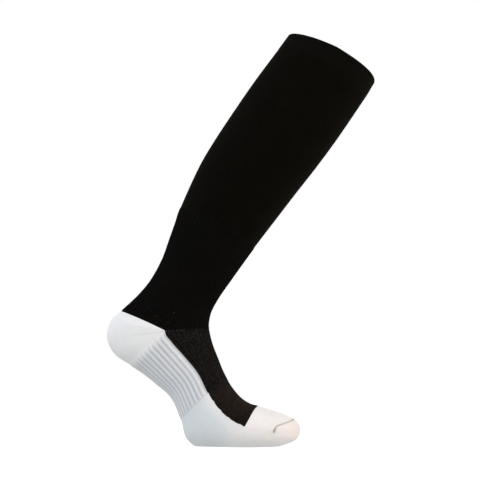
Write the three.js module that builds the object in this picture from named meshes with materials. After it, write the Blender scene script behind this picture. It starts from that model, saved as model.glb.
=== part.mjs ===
// Knee-high compression stocking, filled out as on a foot that stands on tiptoe.
// Millimetres, +Z up, toes towards +X. The origin is the centre of the cuff's mouth.

import * as THREE from 'three';

// The cloth
const wall = 1.8;        // plain knit, worn on a form
const ribHeight = 0.8;   // a rib's crest above its grooves, half of it above the plain knit
const bandRise = 0.5;    // the doubled top band above the plain knit
const seamGap = 0.3;     // between two pieces at a seam
const ribsRound = 48;    // three wales up and one down, from 192 needles
const crestStart = 0.2;  // of a rib's width, with the groove at 0
const crestEnd = 0.8;

// The leg's section is a circle drawn out to its depth and width. The sole is squarer.
const round = 2;
const squarer = 2.5;

// One row for each guiding course of stitches, from the cuff to the tip of the toe.
// x is forward of the back of the heel and z is above the floor. side is where the instep half
// of a course meets its sole half, and halfWidth is how far that point is from the middle.
// A back point under the floor stands for flesh that the floor presses flat.
const courses = [
  { name: 'cuff', front: [283.5, 384.5], side: [239.5, 412], halfWidth: 50, back: [191.5, 438] },
  { name: 'bandEnd', front: [273, 366.5], side: [227.5, 394.5], halfWidth: 51, back: [179, 421] },
  { name: 'upperCalf', front: [244.5, 324.5], side: [199.5, 356], halfWidth: 52.5, back: [153.5, 387] },
  { name: 'fullCalf', front: [222, 293], side: [176, 323.5], halfWidth: 52.5, back: [131, 353] },
  { name: 'lowerCalf', front: [198.5, 262.5], side: [153.5, 291.5], halfWidth: 50.5, back: [109.5, 319.5] },
  { name: 'calfEnd', front: [178.5, 236.5], side: [136, 264], halfWidth: 47.5, back: [94, 291.5] },
  { name: 'ribStart', front: [155.5, 206.5], side: [115.5, 228], halfWidth: 43, back: [75.5, 249.5] },
  { name: 'shin', front: [145, 192], side: [107, 213], halfWidth: 39.5, back: [69.5, 233] },
  { name: 'lowerShin', front: [132, 174], side: [97.5, 194.5], halfWidth: 35.5, back: [63, 215] },
  { name: 'thinnest', front: [118.5, 155], side: [86.5, 174], halfWidth: 32, back: [55.5, 194] },
  { name: 'aboveAnkle', front: [110, 140], side: [75, 155.5], halfWidth: 31, back: [45, 172] },
  { name: 'ankle', front: [107, 129.5], side: [66.5, 138], halfWidth: 32, back: [31, 156] },
  { name: 'heelCorner', front: [107, 120], side: [62.5, 117], halfWidth: 33, back: [13.5, 142] },
  { name: 'instepStart', front: [110.5, 105.5], side: [70, 105], halfWidth: 33.5, back: [38.5, 74] },
  { name: 'highArch', front: [116.5, 90.5], side: [82.5, 91], halfWidth: 34.5, back: [52, 63] },
  { name: 'arch', front: [122.5, 76], side: [96.5, 74], halfWidth: 36.5, back: [67, 49] },
  { name: 'archEnd', front: [130.5, 63], side: [107, 54], halfWidth: 39.5, back: [79.5, 27.5] },
  { name: 'ballStart', front: [140.5, 52], side: [117.5, 39], halfWidth: 43, back: [85, 7] },
  { name: 'ball', front: [149.5, 45.5], side: [129, 28.5], halfWidth: 45.5, back: [102, -4.5] },
  { name: 'toeLine', front: [158.5, 41.5], side: [143.5, 21], halfWidth: 46, back: [132, -6] },
  { name: 'toeRoots', front: [170, 38], side: [158.5, 17], halfWidth: 44.5, back: [153, -5] },
  { name: 'toes', front: [182, 34], side: [173.5, 15], halfWidth: 41, back: [171, -2] },
  { name: 'toeEnds', front: [192, 29.5], side: [186.5, 14.5], halfWidth: 33, back: [185.5, 1.5] },
  { name: 'toeRound', front: [198.5, 24.5], side: [196, 15], halfWidth: 22, back: [195.5, 5.5] },
  { name: 'toeFront', front: [201, 20], side: [200.5, 15.5], halfWidth: 11, back: [200, 10.5] },
  { name: 'toeTip', front: [201.5, 15.5], side: [201.5, 15.5], halfWidth: 0, back: [201.5, 15.5] },
];

// The heel turns about its two corners. These are the back points of its courses, from the last
// course of the leg to the first of the sole.
const heelTurn = [[5, 130], [0, 116], [2, 103], [10.5, 92], [24.5, 83]];

const row = Object.fromEntries(courses.map((course, number) => [course.name, number]));
const soleStart = row.heelCorner + heelTurn.length;
const ribsInHalf = ribsRound / 2;
const slopeStep = 0.01;      // of a row, to measure the cloth's slope along the leg
const sectionSteps = 120;    // along half a section, to space its points evenly

// Guide lines

const inMiddle = ([x, z]) => new THREE.Vector3(x, 0, z);
const atSide = ({ side: [x, z], halfWidth }) => new THREE.Vector3(x, halfWidth, z);

// A smooth line through points, read by its row number
function guide(points) {
  const line = new THREE.CatmullRomCurve3(points, false, 'catmullrom', 0.5);
  return (number) => line.getPoint(THREE.MathUtils.clamp(number / (points.length - 1), 0, 1));
}

const frontLine = guide(courses.map((course) => inMiddle(course.front)));
const sideLine = guide(courses.map(atSide));
const backLine = guide([
  ...courses.slice(0, row.heelCorner + 1).map((course) => inMiddle(course.back)),
  ...heelTurn.map(inMiddle),
  ...courses.slice(row.heelCorner + 1).map((course) => inMiddle(course.back)),
]);

// The way out of the cloth at a side point: sideways, square to the side line
function sidewaysAt(number) {
  const along = sideLine(number + slopeStep).sub(sideLine(number - slopeStep)).normalize();
  return new THREE.Vector3(0, 1, 0).addScaledVector(along, -along.y).normalize();
}

// Each half of a course runs over a crown, from one side point to the other. towards is the
// side, in Y, where it ends, so that two halves go once round, anticlockwise from above.
const frontHalf = (number) => ({
  crown: frontLine(number), corner: number, towards: 1, power: round,
});
const calfHalf = (number) => ({
  crown: backLine(number), corner: number, towards: -1, power: round,
});
const heelHalf = (number) => ({
  crown: backLine(number),
  corner: row.heelCorner,
  towards: -1,
  power: THREE.MathUtils.mapLinear(number, row.heelCorner, soleStart, round, squarer),
});
const soleHalf = (number) => ({
  crown: backLine(number + heelTurn.length), corner: number, towards: -1, power: squarer,
});

// The surface

// Points of half a course at the given shares of its length, flat where it meets the floor.
// corner is the row number of its two side points.
function halfCourse({ crown, corner, towards, power }, shares) {
  const side = sideLine(corner);
  const line = [];
  for (let i = 0; i <= sectionSteps; i += 1) {
    const angle = (i / sectionSteps - 0.5) * Math.PI;
    const reach = Math.cos(angle) ** (2 / power);
    const across = Math.sign(angle) * Math.abs(Math.sin(angle)) ** (2 / power);
    line.push(new THREE.Vector3(
      THREE.MathUtils.lerp(side.x, crown.x, reach),
      towards * side.y * across,
      Math.max(0, THREE.MathUtils.lerp(side.z, crown.z, reach)),
    ));
  }
  const length = [0];
  for (let i = 1; i <= sectionSteps; i += 1) {
    length.push(length[i - 1] + line[i].distanceTo(line[i - 1]));
  }
  let i = 1;
  return shares.map((share) => {
    const goal = share * length[sectionSteps];
    while (i < sectionSteps && length[i] < goal) i += 1;
    const part = (goal - length[i - 1]) / (length[i] - length[i - 1] || 1);
    return line[i - 1].clone().lerp(line[i], THREE.MathUtils.clamp(part, 0, 1));
  });
}

// The same points with the direction out of the cloth at each. Two halves share it where they
// meet, and at the toe's tip, where the courses close to one point, it is straight ahead.
function halfRing(half, number, shares) {
  const here = half(number);
  const points = halfCourse(here, shares);
  const above = halfCourse(half(Math.max(0, number - slopeStep)), shares);
  const below = halfCourse(half(number + slopeStep), shares);
  const before = halfCourse(here, shares.map((share) => Math.max(0, share - 1 / sectionSteps)));
  const after = halfCourse(here, shares.map((share) => Math.min(1, share + 1 / sectionSteps)));
  const sideways = sidewaysAt(here.corner);
  return points.map((point, i) => {
    const out = new THREE.Vector3(1, 0, 0);
    if (number === row.toeTip) return { point, out };
    if (i === 0 || i === points.length - 1) {
      out.copy(sideways).setY(Math.sign(point.y) * sideways.y);
    } else {
      const along = below[i].clone().sub(above[i]);
      out.crossVectors(along, after[i].clone().sub(before[i])).normalize();
    }
    return { point, out };
  });
}

// How the outside of half a course is drawn: where its points lie, how far each stands above the
// plain knit, and how many lie on each step of the plain inside
const plain = {
  shares: Array.from({ length: ribsInHalf + 1 }, (_, i) => i / ribsInHalf),
  rises: Array(ribsInHalf + 1).fill(0),
  perStep: 1,
};
const ribbed = { shares: [0], rises: [-ribHeight / 2], perStep: 3 };
for (let rib = 0; rib < ribsInHalf; rib += 1) {
  const rest = [crestStart, crestEnd, 1];
  ribbed.shares.push(...rest.map((share) => (rib + share) / ribsInHalf));
  ribbed.rises.push(ribHeight / 2, ribHeight / 2, -ribHeight / 2);
}

// Solids

// A closed body that joins equal points and leaves out triangles without area
class Body {
  constructor() {
    this.numbers = new Map();
    this.positions = [];
    this.faces = [];
  }

  number(point) {
    const place = point.toArray().map((value) => Math.round(value * 1e4) / 1e4);
    const key = place.join(' ');
    if (!this.numbers.has(key)) {
      this.numbers.set(key, this.numbers.size);
      this.positions.push(...place);
    }
    return this.numbers.get(key);
  }

  triangle(a, b, c) {
    if (a !== b && b !== c && c !== a) this.faces.push(a, b, c);
  }

  quad(a, b, c, d) {
    this.triangle(a, b, c);
    this.triangle(a, c, d);
  }

  geometry() {
    const geometry = new THREE.BufferGeometry();
    geometry.setAttribute('position', new THREE.Float32BufferAttribute(this.positions, 3));
    geometry.setIndex(this.faces);
    geometry.computeVertexNormals();
    return geometry;
  }
}

// A point drawn in from a piece's edge, so that half a seam's gap is left beside it
const drawIn = (point, inner) => point.clone().add(inner.clone().sub(point).setLength(seamGap / 2));

// The courses that a piece is drawn by, each a ring of spots all round or over one half
function coursesOf({ halves, from, to, rings, knit }) {
  return Array.from({ length: rings + 1 }, (_, i) => {
    const number = THREE.MathUtils.lerp(from, to, i / rings);
    return halves.flatMap((half) => {
      const ring = halfRing(half, number, knit.shares).map((spot, j) => ({ ...spot, rise: knit.rises[j] }));
      return halves.length > 1 ? ring.slice(0, -1) : ring;
    });
  });
}

// The heel pocket is moved back from its seams, because its courses meet in its corners
function movedBack(rings) {
  const corner = sideLine(row.heelCorner).setY(0);
  const back = backLine((row.heelCorner + soleStart) / 2).sub(corner).setLength(seamGap);
  return rings.map((ring) => ring.map((spot) => ({ ...spot, point: spot.point.clone().add(back) })));
}

// Any other piece is drawn in from its seams, but not from the cuff's edge or the toe's tip
function drawnIn(rings, { halves, from, to }) {
  const last = rings.length - 1;
  const end = rings[0].length - 1;
  const drawn = rings.map((ring) => ring.map((spot) => ({ ...spot })));
  for (let j = 0; j <= end; j += 1) {
    if (from !== row.cuff) drawn[0][j].point = drawIn(rings[0][j].point, rings[1][j].point);
    if (to !== row.toeTip) drawn[last][j].point = drawIn(rings[last][j].point, rings[last - 1][j].point);
  }
  if (halves.length === 1) {
    for (const ring of drawn) {
      ring[0].point = drawIn(ring[0].point, ring[1].point);
      ring[end].point = drawIn(ring[end].point, ring[end - 1].point);
    }
  }
  return drawn;
}

// A wall with an outside that may be ribbed, a plain inside, and rims where it is open
function clothGeometry(piece) {
  const { halves, rings, knit: { perStep }, rise = 0 } = piece;
  const closedRound = halves.length > 1;
  const grid = halves === heel ? movedBack(coursesOf(piece)) : drawnIn(coursesOf(piece), piece);
  const body = new Body();
  const outer = grid.map((ring) => ring.map((spot) => (
    body.number(spot.point.clone().addScaledVector(spot.out, spot.rise + rise)))));
  const inner = grid.map((ring) => ring.filter((_, j) => j % perStep === 0).map((spot) => (
    body.number(spot.point.clone().addScaledVector(spot.out, -wall)))));
  const steps = ribsInHalf * halves.length;
  const wrap = (j, count) => (closedRound ? j % count : j);
  const onOuter = (i, j) => outer[i][wrap(j, steps * perStep)];
  const onInner = (i, j) => inner[i][wrap(j, steps)];

  for (let i = 0; i < rings; i += 1) {
    for (let j = 0; j < steps * perStep; j += 1) {
      body.quad(onOuter(i, j), onOuter(i + 1, j), onOuter(i + 1, j + 1), onOuter(i, j + 1));
    }
    for (let j = 0; j < steps; j += 1) {
      body.quad(onInner(i, j), onInner(i, j + 1), onInner(i + 1, j + 1), onInner(i + 1, j));
    }
    if (!closedRound) {
      body.quad(onOuter(i + 1, 0), onOuter(i, 0), onInner(i, 0), onInner(i + 1, 0));
      const end = steps * perStep;
      body.quad(onOuter(i, end), onOuter(i + 1, end), onInner(i + 1, steps), onInner(i, steps));
    }
  }

  // A rim runs between the many points of the outside and the few of the inside
  const half = Math.ceil(perStep / 2);
  const rim = (i, face) => {
    for (let j = 0; j < steps; j += 1) {
      const spots = Array.from({ length: perStep + 1 }, (_, k) => onOuter(i, j * perStep + k));
      for (let k = 0; k < half; k += 1) face(spots[k], spots[k + 1], onInner(i, j));
      face(spots[half], onInner(i, j + 1), onInner(i, j));
      for (let k = half; k < perStep; k += 1) face(spots[k], spots[k + 1], onInner(i, j + 1));
    }
  };
  rim(0, (a, b, c) => body.triangle(a, b, c));
  if (piece.to !== row.toeTip) rim(rings, (a, b, c) => body.triangle(c, b, a));
  return body.geometry();
}

// The pieces, from the cuff to the toe

const leg = [frontHalf, calfHalf];
const heel = [heelHalf];
const instep = [frontHalf];
const sole = [soleHalf];
const toe = [frontHalf, soleHalf];
const black = { color: 0x171615, roughness: 0.88, metalness: 0 };
const white = { color: 0xe4e5e7, roughness: 0.85, metalness: 0 };

const pieces = [
  {
    name: 'top_band', halves: leg, knit: plain, yarn: black, rise: bandRise,
    from: row.cuff, to: row.bandEnd, rings: 2,
  },
  {
    name: 'calf_tube', halves: leg, knit: plain, yarn: black,
    from: row.bandEnd, to: row.ribStart, rings: 10,
  },
  {
    name: 'ankle_tube', halves: leg, knit: ribbed, yarn: black,
    from: row.ribStart, to: row.heelCorner, rings: 12,
  },
  {
    name: 'heel_pocket', halves: heel, knit: plain, yarn: white,
    from: row.heelCorner, to: soleStart, rings: 8,
  },
  {
    name: 'instep_panel', halves: instep, knit: ribbed, yarn: black,
    from: row.heelCorner, to: row.archEnd, rings: 6,
  },
  {
    name: 'arch_band', halves: sole, knit: ribbed, yarn: white,
    from: row.heelCorner, to: row.archEnd, rings: 6,
  },
  {
    name: 'forefoot_panel', halves: instep, knit: plain, yarn: black,
    from: row.archEnd, to: row.toeLine, rings: 6,
  },
  {
    name: 'ball_sole', halves: sole, knit: plain, yarn: white,
    from: row.archEnd, to: row.toeLine, rings: 6,
  },
  {
    name: 'toe_cap', halves: toe, knit: plain, yarn: white,
    from: row.toeLine, to: row.toeTip, rings: 9,
  },
];

// The origin is half way between the front and the back of the cuff
const stocking = new THREE.Group();
const { front, back } = courses[row.cuff];
stocking.position.set(-(front[0] + back[0]) / 2, 0, -(front[1] + back[1]) / 2);
for (const piece of pieces) {
  const mesh = new THREE.Mesh(clothGeometry(piece), new THREE.MeshStandardMaterial(piece.yarn));
  mesh.name = piece.name;
  stocking.add(mesh);
}

export default stocking;
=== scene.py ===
# Knee-high compression stocking, worn on tiptoe: its knitted cloth, toe seam, light and camera.
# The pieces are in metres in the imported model's frame. The cloth is worked out in millimetres,
# with the ball of the foot on z = 0, and moved to the frame as the last step.

import math

import bpy
import bmesh
import numpy as np
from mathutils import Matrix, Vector


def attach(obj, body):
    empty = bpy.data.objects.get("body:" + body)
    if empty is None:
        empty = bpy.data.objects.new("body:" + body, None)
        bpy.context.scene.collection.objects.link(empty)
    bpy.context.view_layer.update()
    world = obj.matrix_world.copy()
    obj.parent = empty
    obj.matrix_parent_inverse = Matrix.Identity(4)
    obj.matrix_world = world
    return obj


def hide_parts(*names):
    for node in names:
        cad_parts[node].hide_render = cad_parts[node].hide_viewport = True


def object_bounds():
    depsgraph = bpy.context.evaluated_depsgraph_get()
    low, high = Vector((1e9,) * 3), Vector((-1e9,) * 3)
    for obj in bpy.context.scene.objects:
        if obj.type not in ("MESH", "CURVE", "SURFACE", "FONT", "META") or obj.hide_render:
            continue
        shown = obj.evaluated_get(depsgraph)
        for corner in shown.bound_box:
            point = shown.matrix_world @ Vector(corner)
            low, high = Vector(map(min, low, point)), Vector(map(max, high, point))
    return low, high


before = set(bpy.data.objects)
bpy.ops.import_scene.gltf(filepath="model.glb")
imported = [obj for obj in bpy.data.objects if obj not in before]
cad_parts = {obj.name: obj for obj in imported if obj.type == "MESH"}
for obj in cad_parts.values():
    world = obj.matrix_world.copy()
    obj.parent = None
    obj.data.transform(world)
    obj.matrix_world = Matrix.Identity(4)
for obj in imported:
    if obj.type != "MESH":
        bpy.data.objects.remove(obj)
CAD_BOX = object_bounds()

MM = 0.001

# The cloth, in millimetres
THICK = 1.3          # plain knit, worn on a form
RIB_HEIGHT = 0.8     # a rib's crest above its grooves, half of it above the plain knit
LOBE_HEIGHT = 0.1    # a single wale on a rib's crest
BAND_RISE = 0.15     # the doubled top band above the plain knit
BAND_HEM = 2.0       # over which the band's cloth rounds down to its linked lower edge
LINK_DEPTH = 0.12    # the linked line under the band
LINK_WIDTH = 0.6     # over which it rises again, on each side
FOLD_STEPS = 8       # round the fold at the cuff
RIB_FADE = 3.0       # over which a rib grows at its ends
INSTEP_FADE = (1.5, 9)  # how far from the plain forefoot the instep's ribs end and begin to fade
GORE_FADE = (24, 38)    # how far from the heel's corner the gore line begins to fade and ends
WALES = 192          # stitches round
HALF_WALES = WALES // 2
RIB_WALES = 4        # three wales up and one down
ARCH_GROOVE = 1.3    # wales from the arch's edge to its first groove
COURSE = 1.15        # height of one course of stitches
EDGE_WALES = 0.4     # how far the black half's last loops reach over the white arch
TICK_WALES = 0.5     # how far white loops reach into the black forefoot, where they reach furthest
TICK_COURSES = 8.0   # between those places

# The leg's section is a circle drawn out to its depth and width. The sole is squarer.
ROUND = 2.0
SQUARER = 2.5
SECTION_STEPS = 360
SLOPE_STEP = 0.01

# Where the cuff, the heel line and the toe line leave the guiding courses, in rows
CUFF_START = 0.04
CUFF_BEND = 0.9      # how far down the band the cuff's bend reaches
LINE_BEND = 2.5      # how far from the heel and toe lines their bends reach
HEEL_SAG = 0.1
TOE_BULGE = 0.15

# The guiding courses, as in the model: name, front x and z, side x and z, half width, back x and z
COURSES = [
    ("cuff", 283.5, 384.5, 239.5, 412, 50, 191.5, 438),
    ("bandEnd", 273, 366.5, 227.5, 394.5, 51, 179, 421),
    ("upperCalf", 244.5, 324.5, 199.5, 356, 52.5, 153.5, 387),
    ("fullCalf", 222, 293, 176, 323.5, 52.5, 131, 353),
    ("lowerCalf", 198.5, 262.5, 153.5, 291.5, 50.5, 109.5, 319.5),
    ("calfEnd", 178.5, 236.5, 136, 264, 47.5, 94, 291.5),
    ("ribStart", 155.5, 206.5, 115.5, 228, 43, 75.5, 249.5),
    ("shin", 145, 192, 107, 213, 39.5, 69.5, 233),
    ("lowerShin", 132, 174, 97.5, 194.5, 35.5, 63, 215),
    ("thinnest", 118.5, 155, 86.5, 174, 32, 55.5, 194),
    ("aboveAnkle", 110, 140, 75, 155.5, 31, 45, 172),
    ("ankle", 107, 129.5, 66.5, 138, 32, 31, 156),
    ("heelCorner", 107, 120, 62.5, 117, 33, 13.5, 142),
    ("instepStart", 110.5, 105.5, 70, 105, 33.5, 38.5, 74),
    ("highArch", 116.5, 90.5, 82.5, 91, 34.5, 52, 63),
    ("arch", 122.5, 76, 96.5, 74, 36.5, 67, 49),
    ("archEnd", 130.5, 63, 107, 54, 39.5, 79.5, 27.5),
    ("ballStart", 140.5, 52, 117.5, 39, 43, 85, 7),
    ("ball", 149.5, 45.5, 129, 28.5, 45.5, 102, -4.5),
    ("toeLine", 158.5, 41.5, 143.5, 21, 46, 132, -6),
    ("toeRoots", 170, 38, 158.5, 17, 44.5, 153, -5),
    ("toes", 182, 34, 173.5, 15, 41, 171, -2),
    ("toeEnds", 192, 29.5, 186.5, 14.5, 33, 185.5, 1.5),
    ("toeRound", 198.5, 24.5, 196, 15, 22, 195.5, 5.5),
    ("toeFront", 201, 20, 200.5, 15.5, 11, 200, 10.5),
    ("toeTip", 201.5, 15.5, 201.5, 15.5, 0, 201.5, 15.5),
]
# The heel turns about its two corners: back points of its courses, from the leg to the sole
HEEL_TURN = [(5, 130), (0, 116), (2, 103), (10.5, 92), (24.5, 83)]

# How far the cloth lies inside the guiding courses at the front of each, and at the back points
FRONT_SET = [
    0.2, 0.6, 0.5, 0.95, 1.15, 1.0, 0.9, 1.0, 0.8, 0.65, 0.6, 0.5, 0.65, 0.75, 0.95, 1.0, 1.5, 2.3, 2.1,
    0.7, 0.8, 0.5, 0.2, 0, 0, 0,
]
BACK_SET = [
    0.3, 0.6, 1.3, 1, 1, 0.7, 0.6, 1.1, 1.4, 1.5, 0.4, 1.2, 3.0, -0.3, 0, 0.5, 0, 0,
    0, 0.3, 0.7, -1.8, -0.7, 0.7, 0, 0, 0, 0, 0, 0, 0,
]
SIDE_SET = 0.8       # at the sides of the leg, down to nothing at the heel's corners

ROW = {course[0]: number for number, course in enumerate(COURSES)}
CORNER = ROW["heelCorner"]
SOLE_START = CORNER + len(HEEL_TURN)

# Lines on the cloth's near side, each point a row number and a share of its half course.
# The front half's share is 0 at the near side, and a back half's share is 1 there.
TOE_SEAM = [
    (20.95, 0.0), (20.93, 0.04), (20.95, 0.068), (21.1, 0.092), (21.35, 0.122), (21.75, 0.177),
    (22.18, 0.29), (22.3, 0.4), (22.35, 0.5),
]
TOE_DIMPLE = [(20.95, 1.0), (20.88, 0.985), (20.8, 0.975)]
HEEL_GORE = [
    (16.0, 0.995), (15.53, 0.953), (15.03, 0.915), (14.88, 0.875), (14.75, 0.835), (14.72, 0.802),
    (14.7, 0.763),
]


# Guide lines

def guide(points):
    """A smooth line through points, read by row number"""
    points = np.array(points, float)
    ends = np.vstack([2 * points[0] - points[1], points, 2 * points[-1] - points[-2]])
    last = len(points) - 1

    def at(rows):
        rows = np.clip(np.asarray(rows, float), -1, last)
        step = np.clip(rows.astype(int), 0, last - 1)
        w = (rows - step)[..., None]
        p0, p1, p2, p3 = (ends[step + k] for k in range(4))
        return 0.5 * (
            2 * p1 + (p2 - p0) * w + (2 * p0 - 5 * p1 + 4 * p2 - p3) * w**2
            + (3 * p1 - p0 - 3 * p2 + p3) * w**3
        )

    return at


FRONT_LINE = guide([(c[1], 0, c[2]) for c in COURSES])
SIDE_LINE = guide([(c[3], c[5], c[4]) for c in COURSES])
BACKS = [(c[6], 0, c[7]) for c in COURSES]
TURN = [(x, 0, z) for x, z in HEEL_TURN]
BACK_LINE = guide(BACKS[: CORNER + 1] + TURN + BACKS[CORNER + 1 :])
FRONT_INSET = guide([(value, 0, 0) for value in FRONT_SET])
BACK_INSET = guide([(value, 0, 0) for value in BACK_SET])
CUFF = COURSES[ROW["cuff"]]
ORIGIN = np.array([(CUFF[1] + CUFF[6]) / 2, 0, (CUFF[2] + CUFF[7]) / 2])


# Each half of a course runs over a crown from one side point to the other, the front half from
# the near side to the far one and the back half on from there. corner is the side points' row.

def front_half(rows):
    return FRONT_LINE(rows), rows, 1, np.full(rows.shape, ROUND)


def calf_half(rows):
    return BACK_LINE(rows), np.minimum(rows, CORNER), -1, np.full(rows.shape, ROUND)


def heel_half(rows):
    power = np.interp(rows, [CORNER, SOLE_START], [ROUND, SQUARER])
    return BACK_LINE(rows), np.full(rows.shape, float(CORNER)), -1, power


def sole_half(rows):
    return BACK_LINE(rows + len(HEEL_TURN)), rows, -1, np.full(rows.shape, SQUARER)


def half_course(half, rows, shares):
    """Points of half courses at the given shares of their length, flat on the floor"""
    crown, corner, towards, power = half(rows)
    side = SIDE_LINE(corner)
    angle = np.linspace(-math.pi / 2, math.pi / 2, SECTION_STEPS + 1)
    reach = np.abs(np.cos(angle)) ** (2 / power[:, None])
    across = np.sign(angle) * np.abs(np.sin(angle)) ** (2 / power[:, None])
    lines = np.stack([
        side[:, :1] + (crown[:, :1] - side[:, :1]) * reach,
        towards * side[:, 1:2] * across,
        np.maximum(0, side[:, 2:] + (crown[:, 2:] - side[:, 2:]) * reach),
    ], axis=2)
    steps = np.linalg.norm(np.diff(lines, axis=1), axis=2)
    lengths = np.concatenate([np.zeros((len(rows), 1)), np.cumsum(steps, axis=1)], axis=1)
    points = np.empty((len(rows), len(shares), 3))
    for i, (line, length) in enumerate(zip(lines, lengths)):
        for axis in range(3):
            points[i, :, axis] = np.interp(shares * length[-1], length, line[:, axis])
    return points


def unit(vectors):
    length = np.linalg.norm(vectors, axis=-1, keepdims=True)
    return vectors / np.where(length > 0, length, 1)


def outward(half, rows, shares):
    """The direction out of the cloth, which two halves share where they meet"""
    along = half_course(half, rows + SLOPE_STEP, shares)
    along -= half_course(half, rows - SLOPE_STEP, shares)
    step = 1 / 120
    across = half_course(half, rows, np.minimum(1, shares + step))
    across -= half_course(half, rows, np.maximum(0, shares - step))
    out = unit(np.cross(along, across))
    _, corner, towards, _ = half(rows)
    edge = unit(SIDE_LINE(corner + SLOPE_STEP) - SIDE_LINE(corner - SLOPE_STEP))
    sideways = unit(np.array([0, 1, 0]) - edge * edge[:, 1:2])
    for at_share, sign in ((0, -towards), (1, towards)):
        near = np.clip(1 - np.abs(shares - at_share) / (2 * step), 0, 1)[:, None]
        target = sideways[:, None] * np.array([1, sign, 1])
        out = unit(out * (1 - near) + target * near)
    out[rows >= ROW["toeTip"]] = (1, 0, 0)
    return out


def inset(half, rows, shares):
    """How far the cloth lies inside its guiding courses"""
    if half is front_half:
        crown = FRONT_INSET(rows)[..., 0]
    else:
        crown = BACK_INSET(rows + (len(HEEL_TURN) if half is sole_half else 0))[..., 0]
    side = np.interp(rows, [0, 1, CORNER - 1.5, CORNER], [0, SIDE_SET, SIDE_SET, 0])
    return side + (crown - side) * np.sin(math.pi * shares)


def cloth(half, rows, shares):
    """Points of the cloth and its outward directions at a grid of row numbers, a column a share"""
    dense = np.linspace(rows.min(), rows.max(), 2 * len(rows) - 1)
    place = (rows - dense[0]) / (dense[1] - dense[0])
    step = np.minimum(place.astype(int), len(dense) - 2)
    w = (place - step)[..., None]
    column = np.arange(len(shares))
    grids = [half_course(half, dense, shares), outward(half, dense, shares)]
    points, outs = [g[step, column] * (1 - w) + g[step + 1, column] * w for g in grids]
    outs = unit(outs)
    return points - outs * inset(half, rows, shares)[..., None], outs


def spot(half, row, share):
    """One point of the cloth and its outward direction"""
    rows, shares = np.array([float(row)]), np.array([float(share)])
    out = outward(half, rows, shares)[0, 0]
    return half_course(half, rows, shares)[0, 0] - out * inset(half, rows, shares), out


def trace(half, marks, steps=12):
    """Points and outward directions along a line on the near side"""
    at = np.linspace(0, len(marks) - 1, steps * len(marks))
    marks = guide([(row, share, 0) for row, share in marks])(at)
    near = [spot(half, row, share) for row, share, _ in marks]
    return np.array([point for point, _ in near]), np.array([out for _, out in near])


def mirrored(points):
    return points * np.array([1, -1, 1])


def distance_to(points, line):
    """How far each point of a grid lies from a line of points, or from the same on the far side"""
    nearest = np.full(points.shape[:-1], np.inf)
    for side in (line, mirrored(line)):
        for a, b in zip(side[:-1], side[1:]):
            step = b - a
            w = np.clip((points - a) @ step / max(step @ step, 1e-9), 0, 1)[..., None]
            nearest = np.minimum(nearest, np.linalg.norm(points - a - w * step, axis=-1))
    return nearest


# Knit and ribs

def smooth(value, low, high):
    value = np.clip((value - low) / (high - low), 0, 1)
    return value * value * (3 - 2 * value)


def from_sides(wales):
    """How many wales lie between the back half's edges and here"""
    return np.minimum(wales - HALF_WALES, WALES - wales)


def rib_profile(wale, first, pitch):
    """How high the cloth stands across the wales, from 0 in a groove to 1 on a crest"""
    place = np.mod((wale - first) / pitch, 1)
    return smooth(place, 0.02, 0.36) * (1 - smooth(place, 0.64, 0.98))


# A zone of the knit is a closed shell: an outside, an inside, and rims between them

class Zone:
    def __init__(self, name, halves, first, last, courses, per_wale, bend=None):
        self.name = name
        self.tube = len(halves) > 1
        shares = np.linspace(0, 1, int(HALF_WALES * per_wale) + 1)
        if self.tube:
            shares = shares[:-1]
        rows = np.linspace(first, last, courses + 1)[:, None] + np.zeros(len(shares))
        sides = [cloth(half, rows + (bend(half, rows, shares) if bend else 0), shares) for half in halves]
        self.points = np.concatenate([points for points, _ in sides], axis=1)
        self.outs = np.concatenate([outs for _, outs in sides], axis=1)
        start = 0 if halves[0] is front_half else HALF_WALES
        self.wales = np.concatenate([start + (k + shares) * HALF_WALES for k in range(len(halves))])
        steps = np.linalg.norm(np.diff(self.points, axis=0), axis=2)
        self.down = np.vstack([np.zeros(steps.shape[1]), np.cumsum(steps, axis=0)])
        self.left = self.down[-1] - self.down
        self.rise = np.zeros(self.points.shape[:2])
        self.crest = np.full(self.points.shape[:2], 0.5)
        self.shade = np.zeros(self.points.shape[:2])
        # The number of each point's course, the same all along a course
        self.courses = np.broadcast_to(self.down.mean(axis=1, keepdims=True) / COURSE, self.down.shape)

    def rib(self, grow, first=0.0):
        """Raises ribs, as strong as grow says at each point. first is the first groove's wale."""
        pitch = RIB_WALES * (HALF_WALES - 2 * first) / HALF_WALES
        crest = rib_profile(np.mod(self.wales, HALF_WALES), first, pitch)
        lobes = 0.5 + 0.5 * np.cos(2 * math.pi * self.wales)
        self.rise += grow * (RIB_HEIGHT * (crest - 0.5) + LOBE_HEIGHT * lobes * crest)
        # crest picks the crest or groove colour: on the white arch the groove colour is painted shade, on
        # the black ankle painted light
        self.crest = 0.5 + grow * (crest - 0.5)

    def press(self, line, depth, width, shade, fade=1.0):
        """Presses a soft trough along a line, on both sides of the stocking, and paints shade into it"""
        trough = np.exp(-((distance_to(self.points, line) / width) ** 2)) * fade
        self.rise -= depth * trough
        self.shade = np.maximum(self.shade, shade * trough)


def face_spots(corners):
    """UV points of a grid of faces, from the u and v grids at each of their four corners"""
    pairs = [np.stack(np.broadcast_arrays(u, v), axis=-1) for u, v in corners]
    return np.stack(np.broadcast_arrays(*pairs), axis=-2).reshape(-1, 2)


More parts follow.
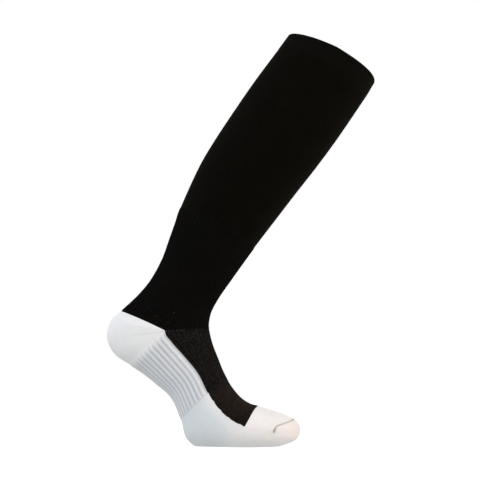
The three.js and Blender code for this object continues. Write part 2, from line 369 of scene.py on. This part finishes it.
def shell(zone, folded=False):
    """The zone's closed mesh, with its wales and courses as the UV map knit"""
    outer = zone.points + zone.outs * zone.rise[..., None]
    outer[..., 2] = np.maximum(0, outer[..., 2])
    inner = zone.points - zone.outs * THICK
    rows, columns = outer.shape[:2]
    plain = np.full((rows, columns), 0.5)
    rings = [*outer, *inner[::-1]]
    courses = [*zone.courses, *zone.courses[::-1]]
    crests = [*zone.crest, *plain]
    shades = [*zone.shade, *(0 * plain)]
    if folded:
        # The cloth turns over the cuff from the inside to the outside in a half round
        middle, reach = (outer[0] + inner[0]) / 2, (outer[0] - inner[0]) / 2
        up = unit(outer[0] - outer[1]) * np.linalg.norm(reach, axis=1, keepdims=True)
        for step in range(1, FOLD_STEPS):
            turn = math.pi * step / FOLD_STEPS
            rings.append(middle - reach * math.cos(turn) + up * math.sin(turn))
            courses.append(courses[0] - math.sin(turn))
            crests.append(plain[0])
            shades.append(0 * plain[0])
    total = len(rings)
    ids = np.arange(total * columns).reshape(total, columns)
    course = np.array(courses)
    wale = np.append(zone.wales, zone.wales[0] + WALES) if zone.tube else zone.wales
    span = np.append(np.linspace(0, 1, columns, endpoint=not zone.tube), 1)
    faces, knit, bake = [], [], []

    def quads(corners, spots, places):
        faces.append(np.stack(np.broadcast_arrays(*corners), axis=-1).reshape(-1, 4))
        knit.append(face_spots(spots))
        bake.append(face_spots(places))

    j = np.arange(columns if zone.tube else columns - 1)
    k = np.arange(total)[:, None]
    turns = [(0, 0), (1, 0), (1, 1), (0, 1)]
    quads(
        [ids[(k + dk) % total, (j + dj) % columns] for dk, dj in turns],
        [(wale[j + dj], course[(k + dk) % total, (j + dj) % columns]) for dk, dj in turns],
        [(0.01 + 0.96 * span[j + dj], 0.005 + 0.99 * (k + dk) / total) for dk, dj in turns],
    )
    if not zone.tube:
        # A half zone also has a rim along each side
        i = np.arange(rows - 1)
        for side, base in ((0, 0.975), (columns - 1, 0.989)):
            turns = [(1, 0), (1, 1), (0, 1), (0, 0)] if side else [(0, 0), (0, 1), (1, 1), (1, 0)]
            quads(
                [ids[i + di if skin == 0 else 2 * rows - 1 - i - di, side] for skin, di in turns],
                [(wale[side] + skin, course[i + di, side]) for skin, di in turns],
                [(base + 0.009 * skin, 0.02 + 0.94 * (i + di) / rows) for skin, di in turns],
            )
    mesh = new_mesh(zone.name + "_knit", np.concatenate(rings), np.concatenate(faces), knit, bake)
    for name, values in (("crest", crests), ("shade", shades)):
        mesh.attributes.new(name, "FLOAT", "POINT").data.foreach_set("value", np.concatenate(values))
    return tidy_mesh(mesh)


def new_mesh(name, corners, faces, knit, bake):
    mesh = bpy.data.meshes.new(name)
    mesh.from_pydata(((corners - ORIGIN) * MM).tolist(), [], faces.tolist())
    for layer, values in (("knit", knit), ("OFBake", bake)):
        mesh.uv_layers.new(name=layer).data.foreach_set("uv", np.concatenate(values).ravel())
    return mesh


def tidy_mesh(mesh, sharp=0.9):
    """Joins the points that fall together at the heel's corners and the toe's tip, and keeps
    the rims' edges crisp"""
    work = bmesh.new()
    work.from_mesh(mesh)
    bmesh.ops.remove_doubles(work, verts=work.verts, dist=2e-6)
    bare = [edge for edge in work.edges if not edge.link_faces]
    bmesh.ops.delete(work, geom=bare, context="EDGES")
    for face in work.faces:
        face.smooth = True
    for edge in work.edges:
        edge.smooth = edge.calc_face_angle(0) < sharp
    work.to_mesh(mesh)
    work.free()
    return mesh


def place(mesh, material, slot, *nodes):
    piece = bpy.data.objects.new(mesh.name, mesh)
    bpy.context.scene.collection.objects.link(piece)
    mesh.materials.append(material)
    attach(piece, "root")
    if nodes:
        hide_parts(*nodes)
    return piece


# The zones, from the cuff to the toe

LEG = [front_half, calf_half]
TOE = [front_half, sole_half]


def cuff_bend(half, rows, shares):
    """The cuff dips a little at the sides and towards the back"""
    aside = np.abs(2 * shares - 1)
    if half is front_half:
        dip = 0.17 * smooth(aside, 0.15, 1) - 0.1
    else:
        dip = 0.1 * aside - 0.02 + 0.08 * np.sin(math.pi * aside)
    return dip * (1 - smooth(rows, 0, CUFF_BEND))


def top_band():
    zone = Zone("top_band", LEG, ROW["cuff"] + CUFF_START, ROW["bandEnd"], 24, 2, bend=cuff_bend)
    zone.rise += BAND_RISE * smooth(zone.left, 0, BAND_HEM)
    zone.rise -= LINK_DEPTH * (1 - smooth(zone.left, 0, LINK_WIDTH))
    return zone


def calf_tube():
    zone = Zone("calf_tube", LEG, ROW["bandEnd"], ROW["ribStart"], 100, 2)
    zone.rise -= LINK_DEPTH * (1 - smooth(zone.down, 0, LINK_WIDTH))
    return zone


def heel_bend(half, rows, shares):
    """The heel line hangs a little lower at the back"""
    if half is front_half:
        return 0 * rows
    near_line = 1 - smooth(np.abs(rows - CORNER), 0, LINE_BEND)
    return HEEL_SAG * np.sin(math.pi * shares) * near_line


def ankle_tube():
    zone = Zone("ankle_tube", LEG, ROW["ribStart"], CORNER, 84, 3, bend=heel_bend)
    front = zone.wales < HALF_WALES
    zone.rib(smooth(zone.down, 0, RIB_FADE) * np.where(front, 1, smooth(zone.left, 0, RIB_FADE)))
    return zone


def heel_pocket():
    zone = Zone("heel_pocket", [heel_half], CORNER, SOLE_START, 80, 2.5, bend=heel_bend)
    # The courses above and below the gore meet on it
    zone.courses = np.where(zone.down < zone.left, zone.down, zone.left + 0.5 * COURSE) / COURSE
    line, _ = trace(heel_half, HEEL_GORE)
    corner, _ = spot(heel_half, SOLE_START, 1)
    reach = distance_to(zone.points, np.array([corner, corner]))
    # The gore's holes deepen its trough and its painted shade every two courses
    holes = 0.75 + 0.25 * np.cos(2 * math.pi * reach / (2 * COURSE))
    zone.press(line, depth=0.3, width=0.7, shade=0.2, fade=(1 - smooth(reach, *GORE_FADE)) * holes)
    return zone


def instep_panel():
    zone = Zone("instep_panel", [front_half], ROW["heelCorner"], ROW["archEnd"], 56, 3)
    zone.rib(smooth(zone.left, *INSTEP_FADE))
    return zone


def arch_band():
    zone = Zone("arch_band", [sole_half], ROW["heelCorner"], ROW["archEnd"], 56, 3)
    zone.rib(smooth(zone.down, 0, RIB_FADE) * smooth(zone.left, 0, RIB_FADE), first=ARCH_GROOVE)
    # The ribs' painted shade gives way to the heel's white here: at the heel, and along the black instep
    beside_black = 1 - smooth(from_sides(zone.wales), 2, 8)
    zone.shade = np.maximum(1 - smooth(zone.down, 0, 9), 0.35 * beside_black)
    return zone


def toe_bend(half, rows, shares):
    """The toe line bulges back a little on each side of the foot's top"""
    if half is not front_half:
        return 0 * rows
    near_line = 1 - smooth(np.abs(rows - ROW["toeLine"]), 0, LINE_BEND)
    return -TOE_BULGE * np.abs(np.sin(2 * math.pi * shares)) ** 1.3 * near_line


def forefoot_panel():
    return Zone("forefoot_panel", [front_half], ROW["archEnd"], ROW["toeLine"], 36, 2, bend=toe_bend)


def ball_sole():
    zone = Zone("ball_sole", [sole_half], ROW["archEnd"], ROW["toeLine"], 44, 2)
    # Painted shade, darker and cooler, away from the toe and from the black half
    zone.shade = smooth(zone.left, 0, 28) * (0.35 + 0.65 * smooth(from_sides(zone.wales), 0, 10))
    return zone


def toe_cap():
    zone = Zone("toe_cap", TOE, ROW["toeLine"], ROW["toeTip"], 76, 2.5, bend=toe_bend)
    line, _ = trace(front_half, TOE_SEAM)
    # The seam's trough and the dimple at its end are dented and get painted shade
    zone.press(line, depth=0.35, width=1.2, shade=0.35)
    dimple, _ = trace(sole_half, TOE_DIMPLE)
    zone.press(dimple, depth=0.7, width=3.0, shade=0.12)
    return zone


# The toe's linked seam: a fine row of stitches from one side over the toes to the other

SEAM_WIDTH = 1.1
SEAM_HEIGHT = 0.7
SEAM_STITCH = 1.3
SEAM_SIDES = 10
SEAM_STEP = 0.25     # along the seam
SEAM_SINK = 0.3      # how deep its middle lies in the cloth
SEAM_BEAD = 0.18     # how much each stitch swells


def toe_seam():
    line, outs = trace(front_half, TOE_SEAM, steps=30)
    line, outs = (np.concatenate([near, mirrored(near)[-2::-1]]) for near in (line, outs))
    steps = np.linalg.norm(np.diff(line, axis=0), axis=1)
    length = np.append(0, np.cumsum(steps))
    at = np.linspace(0, length[-1], int(length[-1] / SEAM_STEP))
    line, outs = (
        np.stack([np.interp(at, length, v[:, axis]) for axis in range(3)], axis=1) for v in (line, outs)
    )
    outs = unit(outs)
    across = unit(np.cross(np.gradient(line, axis=0), outs))
    end = smooth(np.minimum(at, at[-1] - at), 0, 1.5)[:, None]
    bead = 1 + SEAM_BEAD * np.cos(2 * math.pi * at / SEAM_STITCH)[:, None]
    rings = []
    for side in range(SEAM_SIDES):
        turn = 2 * math.pi * side / SEAM_SIDES
        offset = across * math.cos(turn) * SEAM_WIDTH / 2 + outs * math.sin(turn) * SEAM_HEIGHT / 2
        rings.append(line - outs * SEAM_SINK + offset * (0.25 + 0.75 * end) * bead)
    corners = np.stack(rings, axis=1).reshape(-1, 3)
    count = len(at)
    ids = np.arange(count * SEAM_SIDES).reshape(count, SEAM_SIDES)
    i, j = np.arange(count - 1)[:, None], np.arange(SEAM_SIDES)
    turns = [(0, 0), (0, 1), (1, 1), (1, 0)]
    faces = np.stack([ids[i + di, (j + dj) % SEAM_SIDES] for di, dj in turns], axis=-1).reshape(-1, 4)
    spots = [((j + dj) / SEAM_SIDES, at[i + di] / SEAM_STITCH) for di, dj in turns]
    places = [(0.05 + 0.9 * (j + dj) / SEAM_SIDES, 0.02 + 0.96 * (i + di) / count) for di, dj in turns]
    knit, bake = (face_spots(pairs) for pairs in (spots, places))
    mesh = new_mesh("toe_seam", corners, faces, [knit], [bake])
    # Painted shade at both ends of the seam, where it narrows into the cloth
    end_shade = 0.6 * (1 - smooth(np.minimum(at, at[-1] - at), 1, 9))
    mesh.attributes.new("shade", "FLOAT", "POINT").data.foreach_set("value", np.repeat(end_shade, SEAM_SIDES))
    work = bmesh.new()
    work.from_mesh(mesh)
    bmesh.ops.holes_fill(work, edges=[edge for edge in work.edges if edge.is_boundary])
    bmesh.ops.recalc_face_normals(work, faces=work.faces)
    for face in work.faces:
        face.smooth = True
    work.to_mesh(mesh)
    work.free()
    return mesh


# White fibres caught in the black knit by the heel's corner: half, row number, share and length

FLECKS = [
    (calf_half, 11.32, 0.818, 0.9), (calf_half, 11.55, 0.905, 1.1), (front_half, 11.09, 0.05, 0.9),
    (calf_half, 11.6, 0.955, 0.8), (front_half, 11.6, 0.03, 0.8), (calf_half, 11.8, 0.93, 0.7),
    (front_half, 12.05, 0.012, 1.3), (front_half, 12.05, 0.036, 1.2), (front_half, 12.04, 0.066, 1.0),
    (front_half, 12.04, 0.1, 0.9), (front_half, 12.05, 0.135, 0.8), (front_half, 12.05, 0.17, 0.7),
]


def flecks():
    work = bmesh.new()
    for half, row, share, size in FLECKS:
        base, out = spot(half, row, share)
        down = unit(spot(half, row + 0.02, share)[0] - base)
        across = np.cross(out, down)
        for sign in (-1, 1):
            leg = unit(down + sign * 0.45 * across)
            flat = unit(np.cross(out, leg))
            centre = base + out * 0.35 + sign * across * 0.22 * size
            for mirror in (1, -1):
                ball = bmesh.ops.create_icosphere(work, subdivisions=2, radius=1)["verts"]
                for vert in ball:
                    x, y, z = vert.co
                    point = centre + size * (0.5 * x * leg + 0.17 * y * flat + 0.15 * z * out)
                    vert.co = Vector(((point * (1, mirror, 1)) - ORIGIN) * MM)
    bmesh.ops.recalc_face_normals(work, faces=work.faces)
    for face in work.faces:
        face.smooth = True
    mesh = bpy.data.meshes.new("white_flecks")
    work.to_mesh(mesh)
    work.free()
    return mesh


# Materials

class Shader:
    """A material's nodes, made and joined by plain calls"""

    def __init__(self, name):
        self.material = bpy.data.materials.new(name)
        self.material.use_nodes = True
        self.tree = self.material.node_tree
        self.tree.nodes.clear()
        self.surface = self.tree.nodes.new("ShaderNodeBsdfPrincipled")
        output = self.tree.nodes.new("ShaderNodeOutputMaterial")
        self.tree.links.new(self.surface.outputs[0], output.inputs["Surface"])

    def put(self, socket, value):
        if isinstance(value, bpy.types.NodeSocket):
            self.tree.links.new(value, socket)
        else:
            socket.default_value = value

    def node(self, kind, out=0, settings=None, **inputs):
        node = self.tree.nodes.new("ShaderNode" + kind)
        for key, value in (settings or {}).items():
            setattr(node, key, value)
        for key, value in inputs.items():
            self.put(node.inputs[key.replace("_", " ")], value)
        return node.outputs[out]

    def math(self, operation, *values):
        node = self.tree.nodes.new("ShaderNodeMath")
        node.operation = operation
        for socket, value in zip(node.inputs, values):
            self.put(socket, value)
        return node.outputs[0]

    def mix(self, factor, a, b, blend="MIX"):
        node = self.tree.nodes.new("ShaderNodeMix")
        node.data_type = "RGBA"
        node.blend_type = blend
        self.put(node.inputs[0], factor)
        self.put(node.inputs[6], a)
        self.put(node.inputs[7], b)
        return node.outputs[2]

    def attribute(self, name):
        return self.node("Attribute", out="Fac", settings={"attribute_name": name})


def knit(name, crest, groove, depth=0.25, gap_shade=0.1, mottle=0.04, roughness=0.9, specular=0.3,
         sheen=0.05, sheen_tint=(1, 1, 1, 1), light_stitches=0.0, ticks=None, tick=None, shaded=None):
    """Jersey stitches from the UV map knit, with a groove's colour between the ribs, painted shade between
    the stitches, and the colour shaded mixed in as far as the attribute shade says
    """
    shader = Shader(name)
    place_on = shader.node("UVMap", settings={"uv_map": "knit"})
    split = shader.tree.nodes.new("ShaderNodeSeparateXYZ")
    shader.put(split.inputs[0], place_on)
    wale, course = split.outputs[0], split.outputs[1]

    # A wale is a column of V shapes, each of two legs that lean towards its middle
    middle = shader.math("FRACT", shader.math("ADD", wale, 0.5))
    across = shader.math("ABSOLUTE", shader.math("SUBTRACT", middle, 0.5))
    leg = shader.math("SUBTRACT", across, 0.24)
    body = shader.math("SUBTRACT", 1.0, shader.math("MULTIPLY", shader.math("MULTIPLY", leg, leg), 15.0))
    lean = shader.math("SUBTRACT", course, shader.math("MULTIPLY", across, 1.3))
    wave = shader.math("COSINE", shader.math("MULTIPLY", lean, 2 * math.pi))
    loops = shader.math("MULTIPLY", shader.math("MULTIPLY_ADD", wave, 0.3, 0.7), body)

    stitch = shader.node(
        "CombineXYZ", X=shader.math("FLOOR", shader.math("ADD", wale, 0.5)), Y=shader.math("FLOOR", lean)
    )
    odd = shader.node("TexWhiteNoise", settings={"noise_dimensions": "2D"}, Vector=stitch)
    spot_at = shader.node("TexCoord", out="Object")
    hairs = shader.node("TexNoise", Vector=spot_at, Scale=2200.0, Detail=3.0, Roughness=0.7)
    cloud = shader.node("TexNoise", Vector=spot_at, Scale=60.0, Detail=4.0, Roughness=0.6)

    colour = shader.mix(shader.attribute("crest"), groove, crest)
    if light_stitches:
        lit = shader.math("MULTIPLY", shader.math("POWER", odd, 3.0), light_stitches)
        colour = shader.mix(lit, colour, LIGHT_STITCH)
    if ticks is not None:
        colour = shader.mix(ticks(shader, wale, course), colour, tick)
    if shaded is not None:
        colour = shader.mix(shader.attribute("shade"), colour, shaded)
    tone = shader.math("MULTIPLY_ADD", odd, mottle, 1.0 - mottle)
    tone = shader.math("MULTIPLY", tone, shader.math("MULTIPLY_ADD", cloud, 2 * mottle, 1.0 - mottle))
    # Painted shade between the stitches: the colour darkens where the loops lie low
    tone = shader.math("MULTIPLY", tone, shader.math("MULTIPLY_ADD", loops, gap_shade, 1.0 - 0.8 * gap_shade))
    grey = shader.node("CombineColor", Red=tone, Green=tone, Blue=tone)
    colour = shader.mix(1.0, colour, grey, blend="MULTIPLY")

    relief = shader.math("MULTIPLY_ADD", hairs, 0.25, loops)
    bump = shader.node("Bump", Strength=0.6, Distance=depth * MM, Height=relief)
    surface = shader.surface.inputs
    shader.put(surface["Base Color"], colour)
    shader.put(surface["Normal"], bump)
    shader.put(surface["Roughness"], shader.math("MULTIPLY_ADD", hairs, 0.1, roughness - 0.05))
    surface["Specular IOR Level"].default_value = specular
    surface["Sheen Weight"].default_value = sheen
    surface["Sheen Roughness"].default_value = 0.5
    surface["Sheen Tint"].default_value = sheen_tint
    return shader.material


def black_edge(shader, wale, course):
    """The black half's last loops, drawn over the white half's edges"""
    aside = shader.math(
        "MINIMUM", shader.math("SUBTRACT", wale, HALF_WALES), shader.math("SUBTRACT", WALES, wale)
    )
    return shader.math("LESS_THAN", aside, EDGE_WALES)


def white_ticks(shader, wale, course):
    """White loops along the black half's edges, which reach further in every few courses"""
    aside = shader.math("MINIMUM", wale, shader.math("SUBTRACT", HALF_WALES, wale))
    beat = shader.math("COSINE", shader.math("MULTIPLY", course, math.pi / TICK_COURSES))
    reach = shader.math("MULTIPLY", shader.math("POWER", shader.math("ABSOLUTE", beat), 8.0), TICK_WALES)
    return shader.math("LESS_THAN", aside, reach)


BLACK = (0.0040, 0.0037, 0.0026, 1)
RIB_BLACK = (0.0043, 0.0040, 0.0036, 1)
# Painted light: the black ribs' groove colour is lighter than their crests', to even out the shade that
# falls in the grooves
LIT_RIB_GROOVE = (0.0054, 0.0050, 0.0046, 1)
BAND_BLACK = (0.0049, 0.0046, 0.0035, 1)
# The foot's blacks are lighter than the leg's: partly white plating showing through the stretched knit,
# partly painted light on the foot
FOOT_BLACK = (0.0090, 0.0070, 0.0055, 1)
FOOT_GROOVE = (0.0060, 0.0060, 0.0062, 1)
FOREFOOT_BLACK = (0.0134, 0.0098, 0.0073, 1)
LIGHT_STITCH = (0.030, 0.032, 0.035, 1)
WHITE = (0.83, 0.83, 0.83, 1)
# Painted shade: darker, cooler copies of the white yarn for the sole's underside and the arch's ribs, the
# ribs' grooves darker still for the shade between them; the white ticks in the black forefoot take the
# sole's copy
SHADED_SOLE_WHITE = (0.69, 0.728, 0.75, 1)
SHADED_RIB_GROOVE = (0.515, 0.53, 0.56, 1)
SHADED_RIB_CREST = (0.715, 0.73, 0.755, 1)
# Painted shade in the troughs of the toe seam, the toe's dimple and the heel's gore
SEAM_SHADE = (0.33, 0.34, 0.29, 1)
SEAM_THREAD = (0.50, 0.51, 0.44, 1)
# Painted shade at the seam's ends
SEAM_END_SHADE = (0.16, 0.18, 0.15, 1)
FIBRE = (0.06, 0.06, 0.07, 1)
BROWN = (0.9, 0.55, 0.4, 1)


def materials():
    dark = dict(specular=0.01, sheen=0.005, sheen_tint=BROWN, mottle=0.25, gap_shade=0.3)
    warm = dict(dark, sheen=0.015)
    return {
        "band": knit("black band knit", BAND_BLACK, BAND_BLACK, **dark),
        "leg": knit("black leg knit", BLACK, BLACK, **dark),
        "ankle": knit("black ribbed knit", RIB_BLACK, LIT_RIB_GROOVE, **dark),
        "foot": knit("black instep knit", FOOT_BLACK, FOOT_GROOVE, light_stitches=0.5, **warm),
        "edge": knit(
            "black forefoot knit", FOREFOOT_BLACK, FOREFOOT_BLACK, light_stitches=0.25,
            ticks=white_ticks, tick=SHADED_SOLE_WHITE, **warm
        ),
        "white": knit("white knit", WHITE, WHITE, shaded=SEAM_SHADE),
        "sole": knit("white sole knit", WHITE, WHITE, shaded=SHADED_SOLE_WHITE),
        "ribbed": knit(
            "white ribbed knit", SHADED_RIB_CREST, SHADED_RIB_GROOVE, ticks=black_edge, tick=FOOT_BLACK, shaded=WHITE
        ),
        "seam": knit("toe seam thread", SEAM_THREAD, SEAM_THREAD, gap_shade=0.25, shaded=SEAM_END_SHADE),
        "fleck": knit("white fibre", FIBRE, FIBRE),
    }


# The floor, the light and the camera

LIGHT_AIM = (-0.1, 0, -0.25)


def plain_floor():
    bpy.ops.mesh.primitive_plane_add(size=6, location=(0, 0, CAD_BOX[0][2]))
    floor = bpy.context.object
    floor.name = "floor"
    shader = Shader("pale floor")
    surface = shader.surface.inputs
    surface["Base Color"].default_value = (0.8, 0.8, 0.8, 1)
    surface["Roughness"].default_value = 1
    surface["Specular IOR Level"].default_value = 0
    surface["Emission Color"].default_value = (1, 1, 1, 1)
    surface["Emission Strength"].default_value = 0.6
    floor.data.materials.append(shader.material)
    floor.visible_diffuse = False


def lamp(name, at, size, energy, colour):
    light = bpy.data.lights.new(name, "AREA")
    light.shape = "DISK"
    light.size = size
    light.energy = energy
    light.color = colour
    lamp_object = bpy.data.objects.new(name, light)
    lamp_object.location = at
    aim = Vector(LIGHT_AIM) - Vector(at)
    lamp_object.rotation_euler = aim.to_track_quat("-Z", "Y").to_euler()
    bpy.context.scene.collection.objects.link(lamp_object)
    lamp_object.visible_camera = False


def studio():
    """White all round, a little brighter above, with a soft lamp on each side"""
    world = bpy.data.worlds.new("studio")
    bpy.context.scene.world = world
    world.use_nodes = True
    nodes, links = world.node_tree.nodes, world.node_tree.links
    nodes.clear()

    def background(colour, strength):
        node = nodes.new("ShaderNodeBackground")
        node.inputs["Color"].default_value = colour
        if strength is not None:
            node.inputs["Strength"].default_value = strength
        return node

    def weigh(value, factor, add):
        node = nodes.new("ShaderNodeMath")
        node.operation = "MULTIPLY_ADD"
        links.new(value, node.inputs[0])
        node.inputs[1].default_value = factor
        if isinstance(add, bpy.types.NodeSocket):
            links.new(add, node.inputs[2])
        else:
            node.inputs[2].default_value = add
        return node.outputs[0]

    seen = background((1, 1, 1, 1), 1.0)
    fill = background((0.976, 1, 0.99, 1), None)
    direction = nodes.new("ShaderNodeTexCoord")
    split = nodes.new("ShaderNodeSeparateXYZ")
    links.new(direction.outputs["Generated"], split.inputs[0])
    links.new(weigh(split.outputs[2], 0.18, 0.825), fill.inputs["Strength"])
    path = nodes.new("ShaderNodeLightPath")
    choose = nodes.new("ShaderNodeMixShader")
    links.new(path.outputs["Is Camera Ray"], choose.inputs[0])
    links.new(fill.outputs[0], choose.inputs[1])
    links.new(seen.outputs[0], choose.inputs[2])
    output = nodes.new("ShaderNodeOutputWorld")
    links.new(choose.outputs[0], output.inputs["Surface"])
    lamp("warm right", (1.7, -0.6, -0.05), 1.2, 20, (1, 0.66, 0.49))
    lamp("cool left", (-1.4, -1.2, 1.2), 1.2, 15, (0.84, 0.84, 1))


CAMERA_LENS = 80.1
CAMERA_AT = (-0.0985, -1.1212, -0.3512)
CAMERA_RISE = math.atan2(147, 1068)   # looking up a little, from the height of the toes


def camera():
    data = bpy.data.cameras.new("camera")
    data.sensor_width = 36
    data.lens = CAMERA_LENS
    view = bpy.data.objects.new("camera", data)
    view.location = CAMERA_AT
    view.rotation_euler = (math.pi / 2 + CAMERA_RISE, 0, 0)
    bpy.context.scene.collection.objects.link(view)
    bpy.context.scene.camera = view


ZONES = {
    top_band: ("band", "black_knit"),
    calf_tube: ("leg", "black_knit"),
    ankle_tube: ("ankle", "black_knit"),
    heel_pocket: ("white", "white_knit"),
    instep_panel: ("foot", "black_knit"),
    arch_band: ("ribbed", "white_knit"),
    forefoot_panel: ("edge", "black_knit"),
    ball_sole: ("sole", "white_knit"),
    toe_cap: ("white", "white_knit"),
}


def main():
    looks = materials()
    for build, (look, slot) in ZONES.items():
        zone = build()
        piece = place(shell(zone, folded=build is top_band), looks[look], slot, zone.name)
    place(toe_seam(), looks["seam"], "white_knit")
    place(flecks(), looks["fleck"], "white_knit")
    plain_floor()
    studio()
    camera()
    bpy.context.scene.view_settings.view_transform = "Standard"


main()
